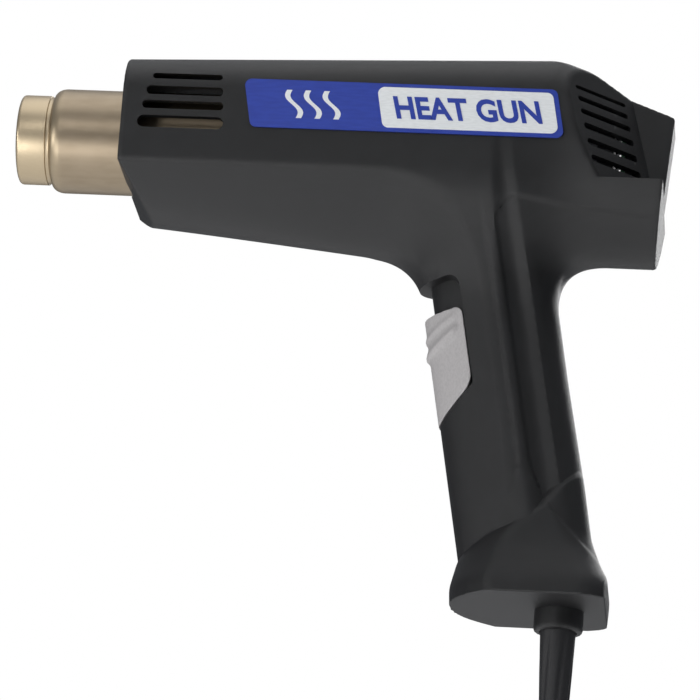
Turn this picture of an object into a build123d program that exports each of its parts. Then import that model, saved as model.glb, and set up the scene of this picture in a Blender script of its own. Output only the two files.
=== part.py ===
from build123d import *
import math
import os

# A pistol-grip heat gun. Millimetres, +Z up, the nozzle points along -X, the handle hangs below the
# barrel and the housing splits at Y = 0. The origin is the middle of the grip.

# Barrel of the housing, with heights counted from the nozzle axis
axis_z = 104.0
front_x = -148.5
half_width = 36.0
wall = 2.6
top_front, top_rear = 25.5, 31.0
chine_drop = 18.5
keel_front, keel_rear = 30.6, 41.5
keel_break_x = -53.0
corner_radius = 16.0
chin_sweep = 9.0
roof_break_x, roof_angle = 14.0, 21.0

# Tail: the plane that the tool stands on, nozzle up, and the slanted vent panels above the ledge
stand_x, stand_z, stand_tilt = 52.2, 69.3, 5.0
ledge_drop = 17.0
vent_start_x, vent_run, vent_rake = 21.0, 24.6, 14.5
spine_half = 10.0

# Handle sections, from inside the barrel to the sole: height, front, back, half width, corner radius
handle_sections = [
    (84.0, -36.0, 34.0, 34.5, 22.0),
    (72.0, -40.0, 31.0, 30.0, 21.0),
    (62.0, -43.0, 26.5, 26.5, 20.0),
    (54.0, -38.0, 19.0, 23.0, 18.0),
    (46.5, -32.9, 15.6, 21.0, 17.0),
    (15.0, -28.2, 21.7, 20.0, 17.0),
    (-24.0, -19.9, 29.9, 20.0, 17.0),
    (-48.0, -15.1, 33.9, 20.5, 17.0),
    (-58.0, -15.6, 38.5, 23.5, 17.0),
    (-65.0, -17.6, 43.0, 27.0, 16.0),
    (-71.0, -17.0, 43.0, 27.4, 16.0),
]
sole_z = -71.0
boss_x, boss_radius, boss_drop = 23.0, 9.0, 8.0

# Grip: straight along the slider, so its outline is also the slider's track
grip_front_x, grip_front_z = -28.2, 15.0
grip_depth, grip_width, grip_corner = 49.0, 40.0, 17.0

# Slide switch: the slider wraps the nose of the grip and runs up and down its front line
slide_rake = 10.8
slider_foot_z, slider_length, slider_depth, foot_rise = -3.0, 41.0, 14.0, 11.0
slider_skin, slider_proud, slider_gap = 3.2, 0.5, 0.35
switch_travel, head_room = 10.0, 2.5
stem_low, stem_high, stem_half = 20.0, 27.0, 1.9
carriage_front, carriage_back = 17.0, 20.0
switch_front, switch_back, switch_low, switch_high, switch_half = 20.3, 36.0, 9.0, 38.0, 8.0
tab_depth, tab_side, tab_length, tab_radius = 28.0, 4.0, 5.0, 1.2

# Hot end
nozzle_length = 42.4
lip_radius, groove_depth = 1.2, 0.4
mouth_radius, mouth_length = 17.0, 12.8
tube_radius, tube_skin = 19.8, 0.8
shoulder_length = 4.5
tube_end_x = -68.0
sleeve_radius, sleeve_skin, sleeve_front_x = 18.6, 0.5, -166.0
core_half, core_skin, coil_pitch, wire_radius = 14.0, 1.2, 5.5, 0.7
heater_back_x, heater_base_thickness = -70.0, 6.0
former_hub, former_lead, coil_lead = 2.5, 2.0, 6.0
base_hole_ring, base_hole_radius, base_hole_count = 11.5, 2.6, 8
terminal_side, terminal_drop, terminal_radius, terminal_length = 5.0, 8.0, 1.2, 8.0
cutout_rise, cutout_radius, cutout_length = 5.0, 3.0, 10.0
piece_gap = 0.3

# Blower
duct_radius, duct_skin = 23.5, 1.5
duct_step_x, duct_end_x, collar_length = -66.0, -6.0, 8.0
impeller_radius, impeller_front_x, impeller_width, blade_count = 20.2, -24.0, 14.0, 9
hub_radius, blade_skin = 6.0, 1.2
shaft_radius, shaft_fit, bush_radius, bush_length = 1.6, 0.05, 3.0, 3.0
motor_radius, motor_skin, motor_front_x, motor_length, cap_length = 14.0, 1.0, -2.8, 31.0, 6.0
rotor_radius, magnet_radius, magnet_skin = 8.6, 12.7, 3.0
cradle_skin = 3.0
board_x, board_skin, board_width, board_height, board_drop = 37.0, 1.6, 18.0, 18.0, 2.0
diode_length, diode_width, diode_height, diode_span, diode_pitch = 5.0, 2.6, 2.5, 8.0, 6.0
spoke_width, magnet_lead, rotor_lead = 5.0, 4.0, 5.0

# Fasteners and cord
screw_radius, screw_head, screw_fit = 1.5, 2.9, 0.06
screw_reach, screw_seat, head_thickness, screw_boss = 10.0, 5.0, 2.4, 3.7
cross_width, cross_length, cross_depth = 0.8, 3.6, 1.2
screw_spots = [(-122.0, 78.2), (-76.0, 74.0), (8.0, 124.5), (44.0, 79.0), (7.0, -30.0), (-6.0, -62.0)]
cord_radius = 3.75
boot_radius, boot_tip_radius, boot_length = 6.6, 5.0, 38.0
collar_radius, collar_thickness = 8.2, 3.0
clamp_z, clamp_height, clamp_width, clamp_skin = -55.0, 7.0, 22.0, 4.0
clamp_hole_side, clamp_screw_length, sole_fillet = 8.0, 15.0, 1.5
core_top_z = -46.0
lead_radius, lead_side, wire_window_x, wire_window_length, wire_window_width = 1.2, 1.7, -56.0, 9.0, 16.0
suppressor_spot, suppressor_size, suppressor_half = (-6.0, -12.0), (12.0, 15.0), 5.0
heater_bends = [(-14.0, -5.0, 63.0), (-36.0, -5.0, 74.0), (-55.0, -5.0, 79.0), (-57.0, -5.0, 95.0),
                (-62.0, -5.0, 96.0)]
motor_bends = [(8.0, 6.0, 62.0), (32.0, 6.0, 82.0), (37.8, 6.0, 93.0)]
coil_radius, coil_bundle, coil_turns = 41.0, 11.0, 6
coil_x, coil_z = 22.0, -248.0
cord_route = [(24.4, 0.5, -151.0), (22.5, 0.0, -190.0), (51.0, 0.0, -219.0)]
tail_route = [(63.0, 0.0, -248.0), (63.8, 0.6, -272.0), (63.8, 0.6, -296.0)]
tie_radius, tie_gap, tie_width = 13.0, 0.4, 6.0
plug_width, plug_thickness, plug_length, plug_neck = 27.0, 21.0, 25.0, 12.0
blade_spacing, blade_width, blade_thickness, blade_length = 12.7, 6.3, 1.5, 17.0
blade_offset, earth_offset, earth_radius, earth_lead = 2.0, 5.0, 2.4, 3.0

# Openings in the housing: start and end along X with the height above the axis and the slot's own height
front_slots = [(-137.7, -111.6, 14.7, 2.4), (-139.6, -110.9, 8.8, 3.4),
               (-140.8, -110.4, 3.1, 3.2), (-142.2, -110.1, -3.6, 4.7)]
# Height above the axis of each air inlet's middle, and the inlet's own height
vent_slots = [(17.6, 1.5), (13.2, 2.0), (8.2, 2.2), (2.6, 2.5), (-3.6, 2.8), (-10.0, 2.8)]
vent_slot_length, vent_middle, vent_cut_depth = 26.0, 18.0, 6.0
rib_thickness, rib_foot_z = 2.0, 78.0
tube_ribs, duct_ribs = [-106.0, -82.0], [-40.0]

# Labels on both sides: a coloured field with a pale plate let into it
label_front_x, label_back_x, label_low, label_high = -101.5, 15.0, -4.5, 14.4
plate_front_x, plate_back_x, plate_low, plate_high = -52.0, 13.2, -3.0, 12.9
label_lean, label_skin, plate_skin, label_corner = 3.6, 0.5, 0.3, 2.5

rake = math.tan(math.radians(slide_rake))
tip_x = front_x - nozzle_length
nozzle_side = Plane(origin=(0, 0, axis_z), x_dir=(1, 0, 0), z_dir=(0, -1, 0))
nozzle_line = Axis((0, 0, axis_z), (1, 0, 0))
os.makedirs("parts", exist_ok=True)


def save(piece, label):
    """Name a finished piece and write it."""
    piece.part.label = label
    export_step(piece.part, f"parts/{label}.step")


def along_x(x):
    """A sketch plane across the nozzle axis, facing +X."""
    return Plane(origin=(x, 0, axis_z), x_dir=(0, 1, 0), z_dir=(1, 0, 0))


def barrel_section(x, top, keel, inset):
    """One cross-section of the barrel: a shallow keel, a chine, upright sides and rounded shoulders."""
    half = half_width - inset
    radius = corner_radius - inset
    roof = top - inset
    chine = -chine_drop + 0.4 * inset
    bottom = -keel + 1.1 * inset
    with BuildSketch(along_x(x)) as section:
        with BuildLine():
            belly = (0.56 * half, bottom + 0.4 * (chine - bottom))
            ThreePointArc((0, bottom), belly, (half, chine))
            Line((half, chine), (half, roof - radius))
            mid = (half - radius + radius * math.sqrt(0.5), roof - radius + radius * math.sqrt(0.5))
            ThreePointArc((half, roof - radius), mid, (half - radius, roof))
            Line((half - radius, roof), (0, roof))
            mirror(about=Plane.YZ)
        make_face()
    return section.sketch


def barrel_form(inset):
    """The barrel, each face moved inwards by the inset."""
    past_tail = 80.0
    roof_slope = (top_rear - top_front) / (roof_break_x - front_x)
    sections = []
    for x in (front_x, keel_break_x, past_tail):
        top = top_front + roof_slope * (x - front_x)
        keel = keel_front + (keel_rear - keel_front) * min(1, (x - front_x) / (keel_break_x - front_x))
        sections.append(barrel_section(x, top, keel, inset))
    with BuildPart() as form:
        loft(sections, ruled=True)
        chin = Plane(origin=(front_x + inset, 0, axis_z - chine_drop), x_dir=(0, 1, 0),
                     z_dir=(keel_front - chine_drop, 0, chin_sweep))
        split(bisect_by=chin, keep=Keep.TOP)
        split(bisect_by=Plane(origin=(front_x + inset, 0, 0), z_dir=(1, 0, 0)), keep=Keep.TOP)
        split(bisect_by=stand_plane(inset), keep=Keep.BOTTOM)
        roof_normal = (math.sin(math.radians(roof_angle)), 0, math.cos(math.radians(roof_angle)))
        roof = Plane(origin=(roof_break_x, 0, axis_z + top_rear), z_dir=roof_normal)
        split(bisect_by=roof.offset(-inset), keep=Keep.BOTTOM)
        for side in (-1, 1):
            ledge_x = vent_start_x + ledge_drop * math.tan(math.radians(vent_rake))
            with BuildSketch(Plane.XY.offset(axis_z - ledge_drop - inset)):
                with BuildLine():
                    Polyline((ledge_x, side * half_width), (ledge_x + vent_run, side * spine_half),
                             (past_tail + 40, side * spine_half), (past_tail + 40, side * 60),
                             (ledge_x, side * 60), close=True)
                make_face()
                if inset:
                    offset(amount=inset, kind=Kind.INTERSECTION)
            up = (-math.sin(math.radians(vent_rake)), 0, math.cos(math.radians(vent_rake)))
            extrude(amount=80, dir=up, mode=Mode.SUBTRACT)
    return form.part


def stand_plane(inset=0.0):
    """The plane through the tail and the heel, facing back."""
    back = (math.cos(math.radians(stand_tilt)), 0, -math.sin(math.radians(stand_tilt)))
    return Plane(origin=(stand_x, 0, stand_z), x_dir=(0, 1, 0), z_dir=back).offset(-inset)


def handle_form(inset):
    """The handle with its flared root and base, each face moved inwards by the inset."""
    with BuildPart() as form:
        for height, front, back, half, radius in handle_sections:
            z = max(height, sole_z + inset)
            with BuildSketch(Plane.XY.offset(z)):
                with Locations(((front + back) / 2, 0)):
                    RectangleRounded(back - front - 2 * inset, 2 * half - 2 * inset, radius - inset)
        loft(ruled=True)
        split(bisect_by=stand_plane(inset), keep=Keep.BOTTOM)
    return form.part


def handle_front(z):
    """X of the straight front line of the grip at a height."""
    return grip_front_x - rake * (z - grip_front_z)


# The slide frame starts at the slider's foot on the front line, with X into the grip and Z up the travel
slide_up = (-math.sin(math.radians(slide_rake)), 0, math.cos(math.radians(slide_rake)))
slide_in = (math.cos(math.radians(slide_rake)), 0, math.sin(math.radians(slide_rake)))
slide_start = (handle_front(slider_foot_z), 0, slider_foot_z)
slide_frame = Plane(origin=slide_start, x_dir=slide_in, z_dir=slide_up)
slide_side = Plane(origin=slide_start, x_dir=slide_in, z_dir=(0, -1, 0))


def nose_bar(inset, low, high):
    """The grip's outline, moved inwards by the inset and carried straight along the travel."""
    with BuildPart() as bar:
        with BuildSketch(slide_frame.offset(low)):
            with Locations((grip_depth / 2, 0)):
                RectangleRounded(grip_depth - 2 * inset, grip_width - 2 * inset, grip_corner - inset)
        extrude(amount=high - low)
    return bar.part


def nose_zone(low, high, depth, front=-20.0):
    """The space in front of a depth into the grip, with a slanted foot like the slider's."""
    with BuildPart() as zone:
        with BuildSketch(slide_side):
            with BuildLine():
                Polyline((front, low), (0, low), (depth, low + foot_rise), (depth, high), (front, high),
                         close=True)
            make_face()
        extrude(amount=half_width, both=True)
    return zone.part


def slide_block(front, back, low, high, half):
    """A block in the slide frame."""
    with BuildPart() as block:
        with BuildSketch(slide_side):
            with Locations(((front + back) / 2, (low + high) / 2)):
                Rectangle(back - front, high - low)
        extrude(amount=half, both=True)
    return block.part


def ring(x_low, x_high, radius, bore=0.0):
    """A round disc or ring on the nozzle axis."""
    with BuildPart() as piece:
        with BuildSketch(along_x(x_low)):
            Circle(radius)
            if bore:
                Circle(bore, mode=Mode.SUBTRACT)
        extrude(amount=x_high - x_low)
    return piece.part


def spun(points):
    """A solid of revolution about the nozzle axis, from (x, radius) points."""
    with BuildPart() as piece:
        with BuildSketch(nozzle_side):
            with BuildLine():
                Polyline(*points, close=True)
            make_face()
        revolve(axis=nozzle_line)
    return piece.part


def pegs(spots, radius, near, far):
    """Round pegs across the tool at (x, z) spots, from one y to another."""
    with BuildPart() as group:
        with BuildSketch(Plane.XZ.offset(-near)):
            with Locations(*spots):
                Circle(radius)
        extrude(amount=-(far - near))
    return group.part


def rod(start, end, radius):
    """A straight round bar between two points."""
    line = Vector(*end) - Vector(*start)
    with BuildPart() as bar:
        with BuildSketch(Plane(origin=start, z_dir=line)):
            Circle(radius)
        extrude(amount=line.length)
    return bar.part


def bent_line(points, share=0.45):
    """Straight runs joined by tangent arcs, each as large as its runs allow. Returns the line and its radii."""
    spots = [Vector(*point) for point in points]
    radii = []
    with BuildLine() as route:
        at = spots[0]
        for before, corner, after in zip(spots, spots[1:], spots[2:]):
            coming, going = (corner - before).normalized(), (after - corner).normalized()
            setback = share * min((corner - before).length, (after - corner).length)
            turn = math.radians(coming.get_angle(going))
            radius = setback / math.tan(turn / 2)
            radii.append(round(radius, 1))
            start, end = corner - coming * setback, corner + going * setback
            inwards = (going - coming).normalized()
            middle = corner + inwards * (radius / math.cos(turn / 2) - radius)
            Line(at, start)
            ThreePointArc(start, middle, end)
            at = end
        Line(at, spots[-1])
    return route.wire(), radii


def tube_along(wire, start, radius):
    """A round bar swept along a line."""
    with BuildPart() as tube:
        with BuildSketch(Plane(origin=start, z_dir=wire % 0)):
            Circle(radius)
        sweep(path=wire)
    return tube.part


def slot_cutters():
    """The cooling slots behind the nozzle and the air inlets in the slanted panels, on both sides."""
    with BuildPart() as cutters:
        for start, end, height, high in front_slots:
            with BuildSketch(nozzle_side):
                with Locations(((start + end) / 2, height)):
                    SlotOverall(end - start, high)
            extrude(amount=half_width + 2, both=True)
        for side in (-1, 1):
            across = Vector(vent_run, side * (spine_half - half_width), 0).normalized()
            down = Vector(math.tan(math.radians(vent_rake)), 0, -1)
            facing = across.cross(down).normalized()
            for height, high in vent_slots:
                corner = Vector(vent_start_x, side * half_width, axis_z)
                with BuildSketch(Plane(origin=corner + across * vent_middle - down * height, x_dir=across,
                                       z_dir=facing)):
                    SlotOverall(vent_slot_length, high)
                extrude(amount=vent_cut_depth, both=True)
    return cutters.part


# Shapes that both housing shells share
slide_top = slider_length + switch_travel + head_room
track_inset = slider_skin + slider_gap
tube_bore = tube_radius + piece_gap
duct_bore = duct_radius + piece_gap
hole_radius = screw_radius + screw_fit
boot_top_z = sole_z + wall + piece_gap + collar_thickness

with BuildPart() as outside:
    add(barrel_form(0))
    add(handle_form(0))
    with BuildSketch(Plane.XY.offset(sole_z - boss_drop)):
        with Locations((boss_x, 0)):
            Circle(boss_radius)
    extrude(amount=boss_drop + wall)
    fillet(outside.faces().sort_by(Axis.Z)[0].edges(), radius=sole_fillet)

with BuildPart() as cavity:
    add(barrel_form(wall))
    add(handle_form(wall))
    add(nose_zone(-wall, slide_top + wall, slider_depth + wall), mode=Mode.SUBTRACT)
    for x in tube_ribs + duct_ribs:
        with BuildSketch(Plane.YZ.offset(x)):
            with Locations((0, rib_foot_z + half_width)):
                Rectangle(2 * half_width, 2 * half_width)
        extrude(amount=rib_thickness, mode=Mode.SUBTRACT)
    add(pegs(screw_spots, screw_boss, -half_width, half_width), mode=Mode.SUBTRACT)

with BuildPart() as recess:
    add(nose_zone(-slider_gap, slide_top, slider_depth + slider_gap))
    add(nose_bar(track_inset, -slider_length, 2 * slide_top), mode=Mode.SUBTRACT)

with BuildPart() as shell:
    add(outside.part)
    add(cavity.part, mode=Mode.SUBTRACT)
    add(ring(front_x - 10, heater_back_x - 2, tube_bore), mode=Mode.SUBTRACT)
    add(ring(duct_step_x - collar_length - 4, duct_end_x + 12, duct_bore), mode=Mode.SUBTRACT)
    add(nose_bar(track_inset + wall, -slider_gap, slide_top), mode=Mode.SUBTRACT)
    add(slide_block(0, slider_depth, stem_low - piece_gap, stem_high + switch_travel + piece_gap,
                    stem_half + piece_gap), mode=Mode.SUBTRACT)
    add(rod((boss_x, 0, sole_z - boss_drop - 1), (boss_x, 0, sole_z + wall + 1), boot_radius + piece_gap),
        mode=Mode.SUBTRACT)
    add(pegs(screw_spots, hole_radius, -screw_reach - 1, half_width), mode=Mode.SUBTRACT)
    add(pegs(screw_spots, screw_head + piece_gap, screw_seat, half_width + 2), mode=Mode.SUBTRACT)
    add(slot_cutters(), mode=Mode.SUBTRACT)
    add(recess.part, mode=Mode.SUBTRACT)

with BuildPart() as left_housing:
    add(shell.part)
    split(bisect_by=Plane.XZ, keep=Keep.TOP)
save(left_housing, "left_housing")

with BuildPart() as right_housing:
    add(shell.part)
    split(bisect_by=Plane.XZ, keep=Keep.BOTTOM)
save(right_housing, "right_housing")

with BuildPart() as housing_screws:
    add(pegs(screw_spots, screw_radius, -screw_reach, screw_seat))
    add(pegs(screw_spots, screw_head, screw_seat, screw_seat + head_thickness))
    for x, z in screw_spots:
        for turn in (0, 90):
            with BuildSketch(Plane.XZ.offset(-screw_seat - head_thickness)):
                with Locations(Location((x, z, 0), (0, 0, turn))):
                    Rectangle(cross_width, cross_length)
            extrude(amount=cross_depth, mode=Mode.SUBTRACT)
save(housing_screws, "housing_screws")

# Labels: a coloured field on each side with a pale plate on it


def label_piece(side, front, back, low, high, inner, outer, corner):
    """A leaning rounded plate standing on one side of the barrel."""
    lean = label_lean * (high - low) / (label_high - label_low) / 2
    with BuildPart() as plate:
        with BuildSketch(Plane(origin=(0, side * inner, axis_z), x_dir=(1, 0, 0), z_dir=(0, -1, 0))) as face:
            with BuildLine():
                Polyline((front - lean, high), (back - lean, high), (back + lean, low), (front + lean, low),
                         close=True)
            make_face()
            fillet(face.vertices(), radius=corner)
        extrude(amount=-side * (outer - inner))
    return plate


for side, word in ((-1, "left"), (1, "right")):
    field_face = half_width + label_skin
    label = label_piece(side, label_front_x, label_back_x, label_low, label_high, half_width, field_face,
                        label_corner)
    save(label, f"{word}_label")
    plate = label_piece(side, plate_front_x, plate_back_x, plate_low, plate_high, field_face,
                        field_face + plate_skin, label_corner)
    save(plate, f"{word}_plate")

# Hot end: a stepped steel tube round a sleeved former that carries the heating coils
mouth_end = tip_x + mouth_length
with BuildPart() as nozzle_tube:
    with BuildSketch(nozzle_side):
        with BuildLine():
            lip, groove, bend = lip_radius, groove_depth, math.sqrt(0.5)
            Line((tip_x, mouth_radius - 2 * tube_skin), (tip_x, mouth_radius - lip))
            ThreePointArc((tip_x, mouth_radius - lip),
                          (tip_x + lip - lip * bend, mouth_radius - lip + lip * bend),
                          (tip_x + lip, mouth_radius))
            Polyline((tip_x + lip, mouth_radius), (mouth_end - 3 * groove, mouth_radius),
                     (mouth_end - 2 * groove, mouth_radius - groove),
                     (mouth_end - groove, mouth_radius - groove),
                     (mouth_end, mouth_radius))
            rise = tube_radius - mouth_radius
            ThreePointArc((mouth_end, mouth_radius),
                          (mouth_end + shoulder_length * (1 - bend), mouth_radius + rise * bend),
                          (mouth_end + shoulder_length, tube_radius))
            Polyline((mouth_end + shoulder_length, tube_radius), (tube_end_x, tube_radius),
                     (tube_end_x, tube_radius - tube_skin),
                     (mouth_end + shoulder_length, tube_radius - tube_skin),
                     (mouth_end + tube_skin, mouth_radius - tube_skin - groove),
                     (tip_x + 2 * lip, mouth_radius - tube_skin - groove),
                     (tip_x, mouth_radius - 2 * tube_skin))
        make_face()
    revolve(axis=nozzle_line)
save(nozzle_tube, "nozzle_tube")

heater_front = heater_back_x - heater_base_thickness
with BuildPart() as mica_sleeve:
    add(ring(sleeve_front_x, heater_front - piece_gap, sleeve_radius, sleeve_radius - sleeve_skin))
save(mica_sleeve, "mica_sleeve")

with BuildPart() as heater_core:
    with BuildSketch(along_x(sleeve_front_x + former_lead)):
        Rectangle(2 * core_half, core_skin)
        Rectangle(core_skin, 2 * core_half)
        Circle(former_hub)
    extrude(amount=heater_front - sleeve_front_x - former_lead)
save(heater_core, "heater_core")

with BuildPart() as heating_coils:
    coil_count = int((heater_front - sleeve_front_x - coil_lead - former_lead) / coil_pitch)
    with BuildSketch(nozzle_side):
        with Locations(*[(sleeve_front_x + coil_lead + coil_pitch * i, core_half + wire_radius + piece_gap)
                         for i in range(coil_count)]):
            Circle(wire_radius)
    revolve(axis=nozzle_line)
save(heating_coils, "heating_coils")

with BuildPart() as heater_base:
    with BuildSketch(along_x(heater_front)):
        Circle(tube_radius - tube_skin - piece_gap)
        with PolarLocations(base_hole_ring, base_hole_count, start_angle=180 / base_hole_count):
            Circle(base_hole_radius, mode=Mode.SUBTRACT)
    extrude(amount=heater_base_thickness)
save(heater_base, "heater_base")

with BuildPart() as heater_terminals:
    with BuildSketch(along_x(heater_back_x)):
        with Locations((-terminal_side, -terminal_drop), (terminal_side, -terminal_drop)):
            Circle(terminal_radius)
    extrude(amount=terminal_length)
save(heater_terminals, "heater_terminals")

with BuildPart() as thermal_cutout:
    with BuildSketch(along_x(heater_back_x)):
        with Locations((0, cutout_rise)):
            Circle(cutout_radius)
    extrude(amount=cutout_length)
save(thermal_cutout, "thermal_cutout")

# Blower: a stepped duct round a bladed wheel on the motor's shaft
with BuildPart() as fan_duct:
    collar_bore, duct_inner = tube_radius + piece_gap, duct_radius - duct_skin
    collar_start = duct_step_x - collar_length
    add(spun([(collar_start, collar_bore), (collar_start, collar_bore + duct_skin),
              (duct_step_x, collar_bore + duct_skin), (duct_step_x + 2, duct_radius),
              (duct_end_x, duct_radius),
              (duct_end_x, duct_inner), (duct_step_x + 3, duct_inner), (duct_step_x + 1, collar_bore)]))
    with BuildSketch(Plane.XY.offset(axis_z - duct_radius - 1)):
        with Locations((wire_window_x, 0)):
            Rectangle(wire_window_length, wire_window_width)
    extrude(amount=8, mode=Mode.SUBTRACT)
save(fan_duct, "fan_duct")

impeller_back = impeller_front_x + impeller_width
with BuildPart() as impeller:
    with BuildSketch(along_x(impeller_front_x)):
        with PolarLocations(0, blade_count):
            with Locations((impeller_radius / 2, 0)):
                Rectangle(impeller_radius, blade_skin)
        Circle(hub_radius)
        Circle(impeller_radius, mode=Mode.INTERSECT)
    extrude(amount=impeller_width)
    with BuildSketch(along_x(impeller_back - blade_skin)):
        Circle(impeller_radius)
    extrude(amount=blade_skin)
    add(ring(impeller_front_x - 1, impeller_back + 1, shaft_radius), mode=Mode.SUBTRACT)
save(impeller, "impeller")

motor_back = motor_front_x + motor_length
shaft_end = motor_back + cap_length - 2
with BuildPart() as motor_shaft:
    add(ring(impeller_front_x - 1, shaft_end, shaft_radius))
save(motor_shaft, "motor_shaft")

with BuildPart() as motor_can:
    add(ring(motor_front_x, motor_back, motor_radius))
    add(ring(motor_front_x + motor_skin, motor_back, motor_radius - motor_skin), mode=Mode.SUBTRACT)
    add(ring(motor_front_x, motor_back, bush_radius), mode=Mode.SUBTRACT)
save(motor_can, "motor_can")

with BuildPart() as motor_end_cap:
    add(ring(motor_back, motor_back + cap_length, motor_radius))
    add(ring(motor_back, motor_back + bush_length, bush_radius), mode=Mode.SUBTRACT)
    add(ring(motor_back, shaft_end + piece_gap, shaft_radius + 4 * shaft_fit), mode=Mode.SUBTRACT)
save(motor_end_cap, "motor_end_cap")

with BuildPart() as motor_bushes:
    for start in (motor_front_x - bush_length + motor_skin, motor_back):
        add(ring(start, start + bush_length, bush_radius, shaft_radius + shaft_fit))
save(motor_bushes, "motor_bushes")

with BuildPart() as motor_magnets:
    with BuildSketch(along_x(motor_front_x + magnet_lead)):
        Circle(magnet_radius)
        Circle(magnet_radius - magnet_skin, mode=Mode.SUBTRACT)
        Rectangle(rotor_radius, 3 * magnet_radius, mode=Mode.SUBTRACT)
    extrude(amount=motor_length - 2 * magnet_lead)
save(motor_magnets, "motor_magnets")

with BuildPart() as motor_rotor:
    add(ring(motor_front_x + rotor_lead, motor_back - rotor_lead, rotor_radius, shaft_radius))
save(motor_rotor, "motor_rotor")

with BuildPart() as motor_cradle:
    with BuildSketch(along_x(duct_end_x)):
        Circle(duct_radius)
        Circle(duct_radius - 2 * duct_skin, mode=Mode.SUBTRACT)
        Rectangle(2 * duct_radius - duct_skin, spoke_width)
        Rectangle(spoke_width, 2 * duct_radius - duct_skin)
        Circle(motor_radius)
        Circle(bush_radius + piece_gap, mode=Mode.SUBTRACT)
    extrude(amount=motor_front_x - duct_end_x)
save(motor_cradle, "motor_cradle")

with BuildPart() as rectifier_board:
    with BuildSketch(along_x(board_x)):
        with Locations((0, -board_drop)):
            RectangleRounded(board_width, board_height, 1)
    extrude(amount=board_skin)
save(rectifier_board, "rectifier_board")

with BuildPart() as rectifier_diodes:
    with BuildSketch(along_x(board_x + board_skin)):
        with Locations((0, -board_drop)):
            with GridLocations(diode_span, diode_pitch, 2, 2):
                Rectangle(diode_length, diode_width)
    extrude(amount=diode_height)
save(rectifier_diodes, "rectifier_diodes")

# Switch in the grip: body, sliding carriage, and the slider that wraps the nose of the grip
with BuildPart() as switch_body:
    add(slide_block(switch_front, switch_back, switch_low, switch_high, switch_half))
save(switch_body, "switch_body")

with BuildPart() as switch_carriage:
    add(slide_block(carriage_front, carriage_back, stem_low - 4, stem_high + 4, 2 * stem_half))
save(switch_carriage, "switch_carriage")

with BuildPart() as switch_slider:
    add(nose_bar(-slider_proud, -1, slider_length + 1))
    add(nose_zone(0, slider_length, slider_depth), mode=Mode.INTERSECT)
    add(nose_bar(slider_skin, -2, slider_length + 2), mode=Mode.SUBTRACT)
    add(slide_block(slider_skin - 1, carriage_front, stem_low, stem_high, stem_half))
save(switch_slider, "switch_slider")


def slide_point(x, y, z):
    """A point given in the slide frame."""
    return tuple(slide_frame.from_local_coords(Vector(x, y, z)))


with BuildPart() as switch_tabs:
    for side in (-1, 1):
        for end, way in ((switch_low, -1), (switch_high, 1)):
            add(rod(slide_point(tab_depth, tab_side * side, end),
                    slide_point(tab_depth, tab_side * side, end + tab_length * way), tab_radius))
save(switch_tabs, "switch_tabs")

with BuildPart() as suppressor:
    with BuildSketch(Plane.XZ.offset(-suppressor_half)):
        with Locations(suppressor_spot):
            RectangleRounded(*suppressor_size, 1.5)
    extrude(amount=2 * suppressor_half)
save(suppressor, "suppressor")

# Leads from the cord to the switch, and from the switch to the heater and the motor's board
with BuildPart() as supply_leads:
    for side in (-1, 1):
        add(rod((boss_x - lead_radius, lead_side * side, core_top_z),
                slide_point(tab_depth, tab_side * side, switch_low - tab_length), lead_radius))
save(supply_leads, "supply_leads")

for label, side, bends in (("heater_lead", -1, heater_bends), ("motor_lead", 1, motor_bends)):
    start = slide_point(tab_depth, tab_side * side, switch_high + tab_length)
    line, radii = bent_line([start] + bends)
    with BuildPart() as lead:
        add(tube_along(line, start, lead_radius))
    save(lead, label)

# Cord entry: the lead's inner end in its clamp, and the boot moulded on it where it leaves the base
with BuildPart() as cord_core:
    add(rod((boss_x, 0, boot_top_z), (boss_x, 0, core_top_z), cord_radius))
save(cord_core, "cord_core")

clamp_face = cord_radius + piece_gap
clamp_holes = [(-clamp_hole_side, clamp_z), (clamp_hole_side, clamp_z)]
with BuildPart() as cord_clamp:
    with BuildSketch(Plane.YZ.offset(boss_x - clamp_face - clamp_skin)):
        with Locations((0, clamp_z)):
            RectangleRounded(clamp_width, clamp_height, 1.5)
        with Locations(*clamp_holes):
            Circle(hole_radius, mode=Mode.SUBTRACT)
    extrude(amount=clamp_skin)
save(cord_clamp, "cord_clamp")

with BuildPart() as clamp_block:
    with BuildSketch(Plane.YZ.offset(boss_x + clamp_face)):
        with Locations((0, clamp_z)):
            RectangleRounded(clamp_width, clamp_height, 1.5)
        with Locations(*clamp_holes):
            Circle(hole_radius, mode=Mode.SUBTRACT)
    extrude(amount=clamp_skin)
save(clamp_block, "clamp_block")

with BuildPart() as clamp_screws:
    for y, z in clamp_holes:
        head_x = boss_x - clamp_face - clamp_skin
        add(rod((head_x, y, z), (head_x + clamp_screw_length, y, z), screw_radius))
        add(rod((head_x - head_thickness, y, z), (head_x, y, z), screw_head))
save(clamp_screws, "clamp_screws")

boot_tip_z = sole_z - boss_drop - boot_length
with BuildPart() as cord_boot:
    with BuildSketch(Plane(origin=(boss_x, 0, 0), x_dir=(1, 0, 0), z_dir=(0, -1, 0))):
        with BuildLine():
            Polyline((0, boot_tip_z), (boot_tip_radius, boot_tip_z), (boot_radius, sole_z - boss_drop),
                     (boot_radius, boot_top_z - collar_thickness),
                     (collar_radius, boot_top_z - collar_thickness),
                     (collar_radius, boot_top_z), (0, boot_top_z), close=True)
        make_face()
    revolve(axis=Axis((boss_x, 0, 0), (0, 0, 1)))
save(cord_boot, "cord_boot")

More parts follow.
